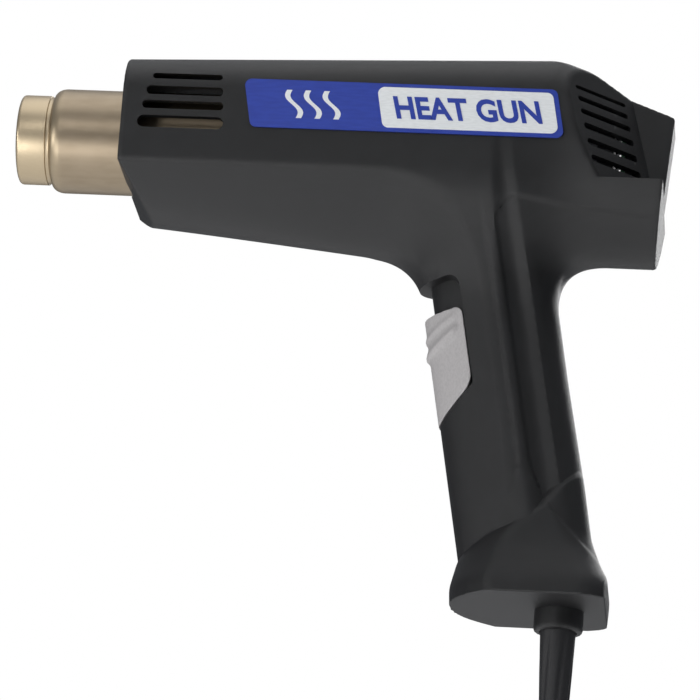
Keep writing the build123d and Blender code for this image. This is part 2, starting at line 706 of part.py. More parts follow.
# Cord: it hangs from the boot into a tied coil, and the plug hangs from the coil on a short tail
cord_start = (boss_x, 0, boot_tip_z)
for label, route in (("power_cord", [cord_start] + cord_route), ("cord_tail", tail_route)):
    line, radii = bent_line(route)
    with BuildPart() as cord:
        add(tube_along(line, route[0], cord_radius))
    save(cord, label)
    section = math.pi * cord_radius ** 2
    print(label, "radii", radii, "length", round(line.length, 1),
          "volume over section by length", round(cord.part.volume / (section * line.length), 4))

coil_centre = (coil_x, 0, coil_z)
with BuildPart() as cord_coil:
    with BuildSketch(Plane.XY.offset(coil_z)):
        with Locations((coil_x + coil_radius, 0)):
            Circle(coil_bundle)
    revolve(axis=Axis(coil_centre, (0, 1, 0)))
save(cord_coil, "cord_coil")

coil_length = coil_turns * 2 * math.pi * coil_radius
print("coil holds", round(coil_length), "of cord in", coil_turns, "turns")

with BuildPart() as cord_tie:
    with BuildSketch(Plane.YZ.offset(coil_x - tie_width / 2)):
        with Locations((0, coil_z - coil_radius)):
            Circle(tie_radius)
            Circle(coil_bundle + tie_gap, mode=Mode.SUBTRACT)
    extrude(amount=tie_width)
save(cord_tie, "cord_tie")

plug_plane = Plane(origin=tail_route[-1], x_dir=(1, 0, 0), z_dir=(0, 0, -1))
with BuildPart() as plug_body:
    with BuildSketch(plug_plane):
        Circle(cord_radius + 1)
    with BuildSketch(plug_plane.offset(plug_neck)):
        Circle(plug_thickness / 2 - 1)
    loft()
    with BuildSketch(plug_plane.offset(plug_neck)):
        RectangleRounded(plug_width, plug_thickness, plug_thickness / 2 - 2)
    extrude(amount=plug_length)
    fillet(plug_body.faces().sort_by(Axis.Z)[0].edges(), radius=1.5)
save(plug_body, "plug_body")

with BuildPart() as plug_blades:
    with BuildSketch(plug_plane.offset(plug_neck + plug_length)):
        with Locations((-blade_spacing / 2, blade_offset), (blade_spacing / 2, blade_offset)):
            Rectangle(blade_thickness, blade_width)
    extrude(amount=blade_length)
save(plug_blades, "plug_blades")

with BuildPart() as plug_earth_pin:
    with BuildSketch(plug_plane.offset(plug_neck + plug_length)):
        with Locations((0, -earth_offset)):
            Circle(earth_radius)
    extrude(amount=blade_length + earth_lead)
save(plug_earth_pin, "plug_earth_pin")
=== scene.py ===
import math

import bmesh
import bpy
import numpy as np
from mathutils import Matrix, Vector


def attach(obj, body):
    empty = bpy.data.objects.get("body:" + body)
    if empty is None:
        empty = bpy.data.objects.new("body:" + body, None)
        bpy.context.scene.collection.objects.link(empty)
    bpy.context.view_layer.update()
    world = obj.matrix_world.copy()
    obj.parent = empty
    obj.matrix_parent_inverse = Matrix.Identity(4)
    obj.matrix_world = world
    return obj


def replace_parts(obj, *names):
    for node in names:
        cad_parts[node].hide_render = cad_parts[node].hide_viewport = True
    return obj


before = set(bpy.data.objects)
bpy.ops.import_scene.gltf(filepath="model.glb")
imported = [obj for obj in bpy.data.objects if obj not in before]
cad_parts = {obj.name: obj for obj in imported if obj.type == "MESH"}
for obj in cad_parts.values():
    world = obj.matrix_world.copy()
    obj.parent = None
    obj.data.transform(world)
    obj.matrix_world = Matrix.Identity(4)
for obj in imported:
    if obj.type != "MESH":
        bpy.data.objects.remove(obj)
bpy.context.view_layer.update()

# Camera. A long lens a little behind the nozzle and well below the barrel, turned slightly about its
# own line of sight, so that the tool is seen from its left side with its underside showing.
eye = Vector((0.1016, -1.6277, -0.4844))
heading, rise, roll = math.radians(-5.68), math.radians(17.32), math.radians(4.09)
ahead = Vector((math.sin(heading) * math.cos(rise), math.cos(heading) * math.cos(rise), math.sin(rise)))
level = ahead.cross(Vector((0, 0, 1))).normalized()
above = level.cross(ahead)
right = level * math.cos(roll) + above * math.sin(roll)
up = above * math.cos(roll) - level * math.sin(roll)
camera = bpy.data.objects.new("camera", bpy.data.cameras.new("camera"))
camera.data.lens = 236.4
camera.data.clip_end = 20
camera.matrix_world = Matrix((right, up, -ahead)).transposed().to_4x4()
camera.matrix_world.translation = eye
bpy.context.scene.collection.objects.link(camera)
bpy.context.scene.camera = camera


# Studio. A pale disc under the hanging cord, a bright surround, and broad soft lights over and in front
# of the tool. They only light it and aren't part of it.
class Shader:
    """A node socket that adds its own Math nodes when it is used in sums and products."""

    def __init__(self, tree, socket):
        self.tree, self.socket = tree, socket

    def _math(self, operation, *values):
        return self.node("ShaderNodeMath", {"operation": operation}, *values)

    def node(self, kind, settings=None, *values, output=0, **named):
        """Adds a node, sets it, feeds its inputs by place or by name, and wraps one of its outputs."""
        made = self.tree.nodes.new(kind)
        for name, value in (settings or {}).items():
            if name == "stops":
                ramp = made.color_ramp.elements
                while len(ramp) < len(value):
                    ramp.new(0.5)
                for element, (place, colour) in zip(ramp, value):
                    element.position = place
                    element.color = colour
            else:
                setattr(made, name, value)
        pairs = list(enumerate(values)) + [(name.replace("_", " "), value) for name, value in named.items()]
        for place, value in pairs:
            if isinstance(value, Shader):
                self.tree.links.new(value.socket, made.inputs[place])
            elif value is not None:
                made.inputs[place].default_value = value
        return Shader(self.tree, made.outputs[output])

    def __add__(self, other):
        return self._math("ADD", self, other)

    def __radd__(self, other):
        return self._math("ADD", other, self)

    def __rsub__(self, other):
        return self._math("SUBTRACT", other, self)

    def __mul__(self, other):
        return self._math("MULTIPLY", self, other)

    def step(self, low, high):
        """0 below low, 1 above high, and smooth between them."""
        return self.node("ShaderNodeMapRange", {"interpolation_type": "SMOOTHSTEP"}, self, low, high)

    def mix(self, first, second):
        """A colour between two, by this socket."""
        made = self.tree.nodes.new("ShaderNodeMix")
        made.data_type = "RGBA"
        self.tree.links.new(self.socket, made.inputs["Factor"])
        for place, value in ((6, first), (7, second)):
            if isinstance(value, Shader):
                self.tree.links.new(value.socket, made.inputs[place])
            else:
                made.inputs[place].default_value = value
        return Shader(self.tree, made.outputs[2])


def finish_of(name, metallic=0.0, **fixed):
    """A new material: its shader's wrapper, its object coordinates, and the material itself."""
    material = bpy.data.materials.new(name)
    material.use_nodes = True
    tree = material.node_tree
    surface = tree.nodes["Principled BSDF"]
    surface.inputs["Metallic"].default_value = metallic
    for socket, value in fixed.items():
        surface.inputs[socket.replace("_", " ")].default_value = value
    place = Shader(tree, tree.nodes.new("ShaderNodeTexCoord").outputs["Object"])
    return material, surface, place


def feed(surface, **links):
    """Links wrapped sockets to a shader's inputs."""
    for name, value in links.items():
        value.tree.links.new(value.socket, surface.inputs[name.replace("_", " ")])


def bumped(place, height, distance, strength=1.0):
    """A bump from a height, its depth in metres."""
    return place.node("ShaderNodeBump", None, Strength=strength, Distance=distance, Height=height)


def rgb(red, green, blue):
    """A colour given as it looks on screen, from 0 to 255, made linear."""
    def line(value):
        share = value / 255
        return share / 12.92 if share <= 0.04045 else ((share + 0.055) / 1.055) ** 2.4
    return (line(red), line(green), line(blue), 1.0)


def grown(name, points, faces, material, smooth=True):
    """A mesh object at the origin from its points and faces."""
    mesh = bpy.data.meshes.new(name)
    mesh.from_pydata([tuple(point) for point in points], [], [tuple(face) for face in faces])
    mesh.materials.append(material)
    mesh.update()
    if smooth:
        mesh.shade_smooth()
    obj = bpy.data.objects.new(name, mesh)
    bpy.context.scene.collection.objects.link(obj)
    return obj


floor_z, floor_radius = -0.95, 4.0
floor_paint, surface, place = finish_of("floor_paint", Roughness=0.85, Emission_Strength=0.42)
surface.inputs["Emission Color"].default_value = (1, 1, 1, 1)
cloudy = place.node("ShaderNodeTexNoise", None, Scale=3.0)
feed(surface, Base_Color=cloudy.step(0.3, 0.7).mix((0.86, 0.86, 0.86, 1), (0.9, 0.9, 0.9, 1)))
rim = [(floor_radius * math.cos(a), floor_radius * math.sin(a), floor_z)
       for a in np.linspace(0, 2 * math.pi, 97)[:-1]]
grown("floor", rim, [list(range(96))], floor_paint)

world = bpy.data.worlds.new("surround")
world.use_nodes = True
tree = world.node_tree
seen = Shader(tree, tree.nodes.new("ShaderNodeLightPath").outputs["Is Camera Ray"])
way = Shader(tree, tree.nodes.new("ShaderNodeTexCoord").outputs["Generated"])
height = way.node("ShaderNodeSeparateXYZ", None, way, output=2)
low, tall = height.step(-0.6, -0.05), height.step(0.15, 0.85)
glow = tall.mix(low.mix((0.42, 0.43, 0.45, 1), (0.09, 0.095, 0.105, 1)), (0.42, 0.43, 0.45, 1))
feed(tree.nodes["Background"], Color=seen.mix(glow, (1, 1, 1, 1)))
bpy.context.scene.world = world
bpy.context.scene.view_settings.view_transform = "Standard"


def soft_light(name, at, towards, size, power):
    light = bpy.data.lights.new(name, "AREA")
    light.shape, light.size, light.energy = "SQUARE", size, power
    lamp = bpy.data.objects.new(name, light)
    lamp.location = at
    lamp.rotation_euler = (Vector(towards) - Vector(at)).to_track_quat("-Z", "Y").to_euler()
    lamp.visible_camera = False
    bpy.context.scene.collection.objects.link(lamp)


soft_light("top", (-0.1, -0.2, 1.3), (0, 0, 0.05), 1.4, 7)
soft_light("front_strip", (-1.2, -0.75, -0.05), (0, 0, 0.03), 0.35, 4)
soft_light("near_card", (-0.42, -1.2, 0.5), (-0.1, 0, 0.1), 0.3, 1.6)
soft_light("wash", (-0.7, -0.95, -0.6), (0, 0, 0.05), 0.4, 4)
soft_light("back", (0.3, 1.3, 0.7), (0, 0, 0), 0.8, 6)


# Cord. A round 7.5 mm three-core lead in black vinyl. It hangs straight from its boot into a coil of six
# turns wound for storage, and the plug hangs from the coil on a short tail.
cord_radius = 0.00375
cord_exit = (0.023, 0.0, -0.117)
coil_centre, coil_radius, strand_ring = Vector((0.022, 0.0, -0.248)), 0.041, 0.0075
coil_turns, turn_points, first_point = 6.125, 16, 2
lead_angle, ring_angle, ring_drift = math.radians(45), math.radians(-90), math.radians(60)
settle_from, settle_over = 0.15, 0.3
route = [cord_exit, (0.0244, 0.0005, -0.151), (0.0225, 0.0, -0.190), (0.051, 0.0, -0.219)]
spread = 1 / math.cos(math.pi / turn_points)
for i in range(first_point, int(coil_turns * turn_points) + 1):
    turned = i / turn_points
    around = lead_angle - 2 * math.pi * turned
    within = ring_angle + ring_drift * turned
    settled = min(max((turned - settle_from) / settle_over, 0), 1)
    offset = strand_ring * settled * settled * (3 - 2 * settled)
    reach = coil_radius * spread + offset * math.cos(within)
    route.append((coil_centre.x + reach * math.cos(around), offset * math.sin(within),
                  coil_centre.z + reach * math.sin(around)))
route += [(0.0638, -0.0060, -0.266), (0.0640, 0.0, -0.282), (0.0638, 0.0006, -0.296)]

vinyl, surface, place = finish_of("black_vinyl", IOR=1.5)
grain = place.node("ShaderNodeTexNoise", None, Scale=900.0, Detail=3.0)
cloud = place.node("ShaderNodeTexNoise", None, Scale=45.0, Detail=2.0)
feed(surface, Base_Color=cloud.step(0.35, 0.7).mix(rgb(26, 26, 28), rgb(36, 36, 38)),
     Roughness=0.42 + cloud * 0.16, Normal=bumped(place, grain, 0.00006))

line = bpy.data.curves.new("mains_cord", "CURVE")
line.dimensions = "3D"
line.bevel_depth, line.bevel_resolution, line.use_fill_caps = cord_radius, 5, True
spline = line.splines.new("NURBS")
spline.points.add(len(route) - 1)
for point, spot in zip(spline.points, route):
    point.co = (*spot, 1)
spline.order_u = 3
spline.use_endpoint_u = True
spline.resolution_u = 5
line.materials.append(vinyl)
mains_cord = bpy.data.objects.new("mains_cord", line)
bpy.context.scene.collection.objects.link(mains_cord)
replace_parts(mains_cord, "power_cord", "cord_coil", "cord_tail")
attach(mains_cord, "tool")


# Cord tie. A soft black band, 6 mm wide, that holds the coil's turns together where the lead comes down.
def paint(material, *nodes):
    """Gives carried-over nodes their finish."""
    for node in nodes:
        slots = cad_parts[node].data.materials
        slots.clear()
        slots.append(material)


band, surface, place = finish_of("tie_band", Roughness=0.7)
nap = place.node("ShaderNodeTexNoise", None, Scale=1400.0, Detail=2.0)
feed(surface, Base_Color=nap.step(0.3, 0.7).mix(rgb(20, 20, 21), rgb(40, 40, 42)),
     Normal=bumped(place, nap, 0.0001))
paint(band, "cord_tie")


# Plug. A moulded black three-pin plug with plated blades and an earth pin, hanging on the tail.
def face_outward(piece):
    """Turns a closed piece's faces to point away from its inside."""
    work = bmesh.new()
    work.from_mesh(piece.data)
    bmesh.ops.recalc_face_normals(work, faces=work.faces)
    work.to_mesh(piece.data)
    work.free()


def stacked(name, rings, material):
    """A closed piece through rings of points in millimetres, each of one count, with both ends capped."""
    count = len(rings[0])
    points = [(x / 1000, y / 1000, z / 1000) for ring in rings for x, y, z in ring]
    faces = [tuple(reversed(range(count))), tuple(range((len(rings) - 1) * count, len(rings) * count))]
    for level in range(len(rings) - 1):
        for i in range(count):
            here, after = level * count + i, level * count + (i + 1) % count
            faces.append((here, after, after + count, here + count))
    piece = grown(name, points, faces, material)
    face_outward(piece)
    piece.data.set_sharp_from_angle(angle=math.radians(40))
    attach(piece, "tool")
    return piece


def oval(x, y, z, wide, deep, power=1.0, count=64):
    """A ring of points, round at power 1 and squarer below it."""
    ring = []
    for angle in np.linspace(0, 2 * math.pi, count + 1)[:-1]:
        c, s = math.cos(angle), math.sin(angle)
        ring.append((x + wide * math.copysign(abs(c) ** power, c),
                     y + deep * math.copysign(abs(s) ** power, s), z))
    return ring


plug_x, plug_y = 63.8, 0.6
plug_rings = [(-296.0, 4.6, 4.6, 1), (-296.6, 5.0, 5.0, 1), (-300.0, 5.6, 5.6, 1), (-304.5, 8.0, 7.2, 0.9),
              (-308.0, 11.5, 9.4, 0.7), (-310.5, 13.2, 10.3, 0.6), (-313.0, 13.5, 10.5, 0.55)]
ridge_count, first_ridge, ridge_pitch = 5, -315.0, 2.6
for ridge in range(ridge_count):
    top = first_ridge - ridge_pitch * ridge
    plug_rings += [(top, 13.5, 10.5, 0.55), (top - 0.5, 12.8, 9.9, 0.55), (top - 1.2, 12.8, 9.9, 0.55),
                   (top - 1.7, 13.5, 10.5, 0.55)]
plug_rings += [(-330.0, 13.5, 10.5, 0.55), (-332.2, 13.2, 10.2, 0.55), (-333.0, 12.4, 9.4, 0.55)]
plug_shell = stacked("plug_shell", [oval(plug_x, plug_y, z, a, b, p) for z, a, b, p in plug_rings], vinyl)
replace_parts(plug_shell, "plug_body")
paint(vinyl, "cord_core")
brass, surface, place = finish_of("plated_brass", metallic=1.0)
scuff = place.node("ShaderNodeTexNoise", None, Scale=700.0, Detail=4.0)
feed(surface, Base_Color=scuff.step(0.3, 0.7).mix(rgb(196, 178, 132), rgb(214, 200, 160)),
     Roughness=0.24 + scuff * 0.2, Normal=bumped(place, scuff, 0.00002))
paint(brass, "plug_blades", "plug_earth_pin", "heater_terminals", "switch_tabs")


# Boot. A tapered strain relief in soft black vinyl, moulded on the lead with long twisted flutes.
cord_x, collar_radius, boot_radius, boot_taper = 23.0, 8.0, 6.6, 1.55
flute_depth, flute_count, flute_twist = 0.55, 6, 2.4
flute_top, flute_foot, flute_rings = -80, -116, 46
boot_rings = [oval(cord_x, 0, z, r, r) for z, r in ((-65.2, collar_radius), (-68.2, collar_radius),
                                                     (-68.3, boot_radius), (-78.0, boot_radius))]
for z in np.linspace(flute_top, flute_foot, flute_rings):
    down = (flute_top - z) / 36
    ring = []
    for x, y, height in oval(0, 0, z, 1, 1, count=64):
        turn = math.atan2(y, x)
        crest = max(0, math.cos(flute_count * turn + flute_twist * down)) ** 2
        flute = flute_depth * crest * math.sin(math.pi * min(1, 0.05 + down)) ** 0.5
        reach = boot_radius - boot_taper * down - flute
        ring.append((cord_x + reach * x, reach * y, height))
    boot_rings.append(ring)
boot_rings += [oval(cord_x, 0, -116.8, 4.9, 4.9), oval(cord_x, 0, -117.0, 4.6, 4.6)]
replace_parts(stacked("strain_boot", boot_rings, vinyl), "cord_boot")


# Housing halves. Two glass-filled nylon shells, 2.6 mm thick and satin black, drawn together by six screws
# from the right. The barrel's side runs down into the grip behind one crease, and the palm is let in a
# little. Each half is grown from a distance field in millimetres, counted from the nozzle axis or the grip.
def smooth_curve(spots, spread):
    """A smooth function of height through (height, value) spots."""
    heights = np.arange(-100.0, 160.0, 0.5)
    spots = sorted(spots)
    values = np.interp(heights, [spot[0] for spot in spots], [spot[1] for spot in spots])
    bell = np.exp(-0.5 * (np.arange(-40, 41) * 0.5 / spread) ** 2)
    smooth = np.convolve(np.pad(values, 40, mode="edge"), bell / bell.sum(), mode="valid")
    return lambda z: np.interp(z, heights, smooth)


def rounded(first, second, radius):
    """Where both distances are inside, with the edge between them rounded."""
    outside = np.hypot(np.maximum(first + radius, 0), np.maximum(second + radius, 0))
    return np.minimum(-radius, np.maximum(first, second)) + outside


def blended(first, second, reach):
    """Either distance, with the corner between them filled over a reach."""
    near = np.clip(0.5 + 0.5 * (second - first) / reach, 0, 1)
    return second + (first - second) * near - reach * near * (1 - near)


def eased(value, low, high):
    share = np.clip((value - low) / (high - low), 0, 1)
    return share * share * (3 - 2 * share)


def rod_slot(along, across, start, end, high):
    """Distance from a round-ended slot that lies along one direction."""
    past = np.maximum(np.abs(along - (start + end) / 2) - (end - start - high) / 2, 0)
    return np.hypot(past, across) - high / 2


axis_z, front_x, half_width, wall = 104.0, -148.5, 36.0, 2.6
chine, keel_front, keel_rear = -18.5, 30.6, 41.5
sole_z, grip_half, boss_z, roof_break = -71.0, 20.2, -79.0, 14.0
side_limit = smooth_curve([(86.0, 36.0), (79.0, 34.4), (72.0, 31.0), (64.0, 27.0), (54.0, 23.2),
                           (44.0, 21.0), (36.0, 20.3), (-24.0, 20.1), (-45.0, 20.4), (-52.0, 21.4),
                           (-58.0, 23.9), (-64.0, 26.8), (-69.0, 27.4)], 2.2)
front_line = smooth_curve([(140.0, -52.05), (15.0, -28.2), (-50.0, -15.8), (-72.0, -11.6)], 1.6)
flare_line = smooth_curve([(-10.0, 26.0), (-28.0, 9.0), (-35.0, 2.5), (-41.0, -5.5), (-46.0, -10.5),
                           (-55.0, -15.3), (-65.0, -17.6), (sole_z, -17.2)], 1.2)
back_line = smooth_curve([(140.0, -1.4), (15.0, 21.9), (-24.0, 29.9), (-46.0, 33.8), (-58.0, 38.5),
                          (-65.0, 42.6), (sole_z, 43.2)], 1.6)
nose_depth, flare_depth = 25.6, 15.0
rake, tilt = math.radians(10.8), math.radians(5.0)
slide_foot = (-24.77, -3.0)
slider_length, slide_top, track_depth, track_inset = 41.0, 53.5, 14.35, 3.55
slider_depth, foot_rise, foot_gap = 14.0, 11.0, 0.35
vent_start, vent_run, vent_across, vent_lean = 21.0, 24.6, 26.0, math.radians(14.5)
front_slots = [(-137.7, -111.6, 14.7, 2.4), (-139.6, -110.9, 8.8, 3.4), (-140.8, -110.4, 3.1, 3.2),
               (-142.2, -110.1, -3.6, 4.7)]
vent_slots = [(17.6, 1.5), (13.2, 2.0), (8.2, 2.2), (2.6, 2.5), (-3.6, 2.8), (-10.0, 2.8)]
screw_spots = [(-122.0, 78.2), (-76.0, 74.0), (8.0, 124.5), (44.0, 79.0), (7.0, -30.0), (-6.0, -62.0)]
panel_across = np.array([vent_run, -vent_across, 0.0]) / math.hypot(vent_run, vent_across)
panel_down = np.array([math.tan(vent_lean), 0.0, -1.0])
panel_facing = np.cross(panel_across, panel_down)
panel_facing /= np.linalg.norm(panel_facing)
panel_up = np.cross(panel_facing, panel_across)


# Palm and finger hollows: how deep, where each starts behind the front line, and how its edge eases in.
palm_depth, palm_start, palm_ease = 1.0, 31.5, 0.4
finger_depth, finger_start, finger_ease, hollow_edge = 0.9, 26.2, 0.3, -1.5
# Grip into barrel, the crease's soft edge, the roof's two heights, and the chin's slope under the nozzle.
grip_blend, crease_round, crease_swell, crease_from, crease_to = 21.0, 0.9, 15.5, 27.5, 37.0
roof_front, roof_high, roof_slope, roof_round, shoulder_round = 25.5, 31.0, math.radians(21.0), 3.0, 16.0
chin_run, chin_drop = 9.0, 12.1
# Tail: the plane that the tool stands on, the ledge under the vents and the spine between them.
stand_x, stand_z, ledge_drop, spine_half = 52.2, 69.3, 17.0, 10.0
# Openings: the track's corner, bosses and bores of the screws, the switch's slit, the tube and the lead.
track_round, screw_boss, head_bore, head_floor, shank_bore, shank_floor = 4.5, 5.6, 3.2, 5.0, 1.6, 1.0
slit_rise, slit_half_rise, slit_into, slit_half_into, slit_half = 28.5, 8.8, 6.0, 8.5, 2.2
tube_bore, tube_bore_end, lead_bore, lead_top = 20.1, -80.0, 6.9, -60.0
vent_centre, vent_half, vent_reach = 18.0, 13.0, 6.0


def bowed(u, width, depth, into):
    """Distance from a front that bows back by a depth towards its sides."""
    spread = np.clip(u / width, 0, 1.25)
    steep = depth * 2.2 / width * np.maximum(spread, 0.02) ** 1.2
    return (depth * spread ** 2.2 - into) / np.hypot(1, steep)


def along_slide(x, z):
    """How far a place is into the grip from the slider's front line, and how far up it."""
    into = (x - slide_foot[0]) * math.cos(rake) + (z - slide_foot[1]) * math.sin(rake)
    rise = -(x - slide_foot[0]) * math.sin(rake) + (z - slide_foot[1]) * math.cos(rake)
    return into, rise


def outer_form(x, u, z):
    """Distance from the closed outer form, before anything is let into it. u is counted from the split."""
    high = z - axis_z
    limit = side_limit(z)
    behind = (x - front_line(z)) * math.cos(rake)
    palm_roof = rounded(palm_start - behind, high + 27 + 0.06 * (x - 10), 10)
    palm = rounded(palm_roof, (-27 - 0.95 * (x - 8) - z) * 0.725, 8)
    palm_in = palm_depth * eased(-palm, hollow_edge, palm_ease)
    fingers = rounded(behind - finger_start, (-56 + 1.1 * behind - z) * 0.67, 5)
    fingers_in = finger_depth * eased(-fingers, hollow_edge, finger_ease) * eased(-high, 24, 38)
    slim = np.where(z < 30, np.minimum(limit, grip_half), limit)
    side = u - slim + palm_in + fingers_in
    share = np.clip(u / half_width, 0, 1.2)
    keel = np.interp(x, [front_x, -53.0], [keel_front, keel_rear])
    steep = (keel + chine) * 1.6 / half_width * np.maximum(share, 0.02) ** 0.6
    under = (chine - (keel + chine) * (1 - share ** 1.6) - high) / np.hypot(1, steep)
    back = (x - back_line(z)) * math.cos(rake)

    column = np.maximum(np.maximum(bowed(u, slim, nose_depth, behind), back), sole_z - z)
    flare = np.maximum(bowed(u, limit, flare_depth, (x - flare_line(z)) * math.cos(rake)), z + 10.0)
    flare = rounded(rounded(rounded(u - limit + palm_in, flare, 1.5), back, 13.0), sole_z - z, 1.0)
    hull = blended(under, column, grip_blend)
    soft = crease_round + crease_swell * eased(behind, crease_from, crease_to)
    body = rounded(side, hull, soft)
    roof = high - np.interp(x, [front_x, roof_break], [roof_front, roof_high])
    sloped = (x - roof_break) * math.sin(roof_slope) + (high - roof_high) * math.cos(roof_slope)
    roof = rounded(roof, sloped, roof_round)
    body = np.maximum(body, rounded(side, roof, shoulder_round))
    chin = -((x - front_x) * chin_drop + (high - chine) * chin_run) / math.hypot(chin_drop, chin_run)
    body = rounded(body, np.maximum(front_x - x, chin), 0.9)
    body = np.minimum(body, flare)
    body = rounded(body, (x - stand_x) * math.cos(tilt) - (z - stand_z) * math.sin(tilt), 1.2)
    leaning = x + math.tan(vent_lean) * high
    panel = (leaning - vent_start) * vent_across + (u - half_width) * vent_run
    panel = panel / math.hypot(vent_across, vent_run)
    body = rounded(body, np.minimum(np.minimum(high + ledge_drop, panel), u - spine_half), 0.8)
    boss = rounded(np.hypot(x - cord_x, u) - 9.0, boss_z - z, 1.5)
    return np.minimum(body, np.maximum(boss, z + 60))


def housing(x, u, z, counterbored):
    """Distance from one half of the housing, from the split outwards."""
    high = z - axis_z
    form = outer_form(x, u, z)
    into, rise = along_slide(x, z)
    foot = (into * foot_rise / slider_depth - foot_gap - rise) * math.cos(math.atan(foot_rise / slider_depth))
    track = np.maximum(rounded(rise - slide_top, into - track_depth, track_round), foot)
    bar = bowed(u, grip_half, nose_depth, into)
    cavity = np.maximum(form + wall, -np.maximum(track - wall, -(bar + track_inset + wall)))
    cavity = np.maximum(cavity, sole_z + wall - z)
    for spot_x, spot_z in screw_spots:
        cavity = np.maximum(cavity, screw_boss - np.hypot(x - spot_x, z - spot_z))
    shell = np.maximum(form, -cavity)
    shell = np.maximum(shell, -np.maximum(track, -(bar + track_inset)))
    slit = np.maximum(np.abs(rise - slit_rise) - slit_half_rise, np.abs(into - slit_into) - slit_half_into)
    slit = np.maximum(slit, u - slit_half)
    shell = np.maximum(shell, -slit)
    shell = np.maximum(shell, -np.maximum(np.hypot(u, high) - tube_bore, x - tube_bore_end))
    shell = np.maximum(shell, -np.maximum(np.hypot(x - cord_x, u) - lead_bore, z - lead_top))
    for start, end, middle, tall in front_slots:
        shell = np.maximum(shell, -rod_slot(x, high - middle, start, end, tall))
    rel = np.stack([x - vent_start, u - half_width, high]) - (panel_across * vent_centre).reshape(3, 1)
    along, across, out = panel_across @ rel, panel_up @ rel, panel_facing @ rel
    for middle, tall in vent_slots:
        offset = along + middle * (panel_down @ panel_across)
        slot = rod_slot(offset, across + middle * (panel_down @ panel_up), -vent_half, vent_half, tall)
        shell = np.maximum(shell, -np.maximum(slot, np.abs(out) - vent_reach))
    if counterbored:
        for spot_x, spot_z in screw_spots:
            bore = np.hypot(x - spot_x, z - spot_z)
            shell = np.maximum(shell, -np.maximum(bore - head_bore, head_floor - u))
            shell = np.maximum(shell, -np.maximum(bore - shank_bore, shank_floor - u))
    return np.maximum(shell, -u)


def grown_from_field(field, low, high, cell):
    """Points and quads of a field's surface. Each cell's point is where its crossings' planes meet."""
    counts = [int(round((b - a) / cell)) + 1 for a, b in zip(low, high)]
    lines = [a + cell * np.arange(n) for a, n in zip(low, counts)]
    grid = np.meshgrid(*lines, indexing="ij")
    values = field(*[part.ravel() for part in grid]).reshape(counts)
    cells = [n - 1 for n in counts]
    # One row a cell: its planes' six products, three right sides, three summed places, and the count.
    sums = np.zeros((int(np.prod(cells)), 13))
    slope_step, furthest, pull, slack = 0.02, 0.3, 0.05, 0.25
    quads = []

    def number(i, j, k):
        return (i * cells[1] + j) * cells[2] + k

    for way in range(3):
        near = values[tuple(slice(None, -1) if axis == way else slice(None) for axis in range(3))]
        far = values[tuple(slice(1, None) if axis == way else slice(None) for axis in range(3))]
        spots = np.argwhere((near < 0) != (far < 0))
        at = tuple(spots.T)
        share = near[at] / (near[at] - far[at])
        points = np.array(low) + cell * spots
        points[:, way] += cell * share
        here = field(*points.T)
        slopes = np.stack([(field(*(points + slope_step * np.eye(3)[axis]).T) - here) / slope_step
                           for axis in range(3)], axis=1)
        normals = slopes / np.maximum(np.linalg.norm(slopes, axis=1, keepdims=True), 1e-9)
        points = points - normals * np.clip(here, -furthest, furthest)[:, None]
        products = np.einsum("ni,nj->nij", normals, normals).reshape(-1, 9)[:, [0, 1, 2, 4, 5, 8]]
        sides = normals * np.einsum("ni,ni->n", normals, points)[:, None]
        rows = np.concatenate([products, sides, points, np.ones((len(points), 1))], axis=1)
        first, second = [axis for axis in range(3) if axis != way]
        around = []
        inside = np.ones(len(spots), bool)
        for da, db in ((-1, -1), (0, -1), (0, 0), (-1, 0)):
            place = spots.copy()
            place[:, first] += da
            place[:, second] += db
            inside &= np.all((place >= 0) & (place < np.array(cells)), axis=1)
            around.append(place)
        numbers = np.stack([number(*place.T) for place in around], axis=1)
        flip = (near[at] < 0) != (way == 1)
        numbers = np.where(flip[:, None], numbers, numbers[:, ::-1])[inside]
        quads.append(numbers)
        for place in around:
            np.add.at(sums, number(*place[inside].T), rows[inside])
    quads = np.concatenate(quads)
    used, faces = np.unique(quads, return_inverse=True)
    faces = faces.reshape(quads.shape)
    total = sums[used]
    middle = total[:, 9:12] / total[:, 12:13]
    square = total[:, [0, 1, 2, 1, 3, 4, 2, 4, 5]].reshape(-1, 3, 3) + pull * np.eye(3)
    target = total[:, 6:9] + pull * middle
    points = np.linalg.solve(square, target[..., None])[..., 0]
    corner = np.stack([used // (cells[1] * cells[2]), used // cells[2] % cells[1], used % cells[2]], axis=1)
    least = np.array(low) + cell * corner
    points = np.clip(points, least - slack * cell, least + (1 + slack) * cell)
    return points, faces


def housing_half(name, side, material):
    points, faces = grown_from_field(lambda x, u, z: housing(x, u, z, side > 0), (-150.0, -1.0, -80.0),
                                     (57.0, 37.0, 137.0), 1.0)
    points = points * np.array([1, side, 1]) / 1000
    half = grown(name, points, faces if side > 0 else faces[:, ::-1], material)
    half.data.set_sharp_from_angle(angle=math.radians(32))
    return half


nylon, surface, place = finish_of("satin_black_nylon", IOR=1.5)
spark = place.node("ShaderNodeTexNoise", None, Scale=2600.0, Detail=2.0)
patch = place.node("ShaderNodeTexNoise", None, Scale=24.0, Detail=3.0)
feed(surface, Base_Color=patch.step(0.3, 0.75).mix(rgb(10, 10, 11), rgb(16, 16, 18)),
     Roughness=0.3 + patch * 0.08 + spark * 0.1, Normal=bumped(place, spark, 0.00012, 0.7))
for side, node in ((-1, "left_housing"), (1, "right_housing")):
    half = housing_half(node.replace("housing", "half"), side, nylon)
    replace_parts(half, node)
    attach(half, "tool")


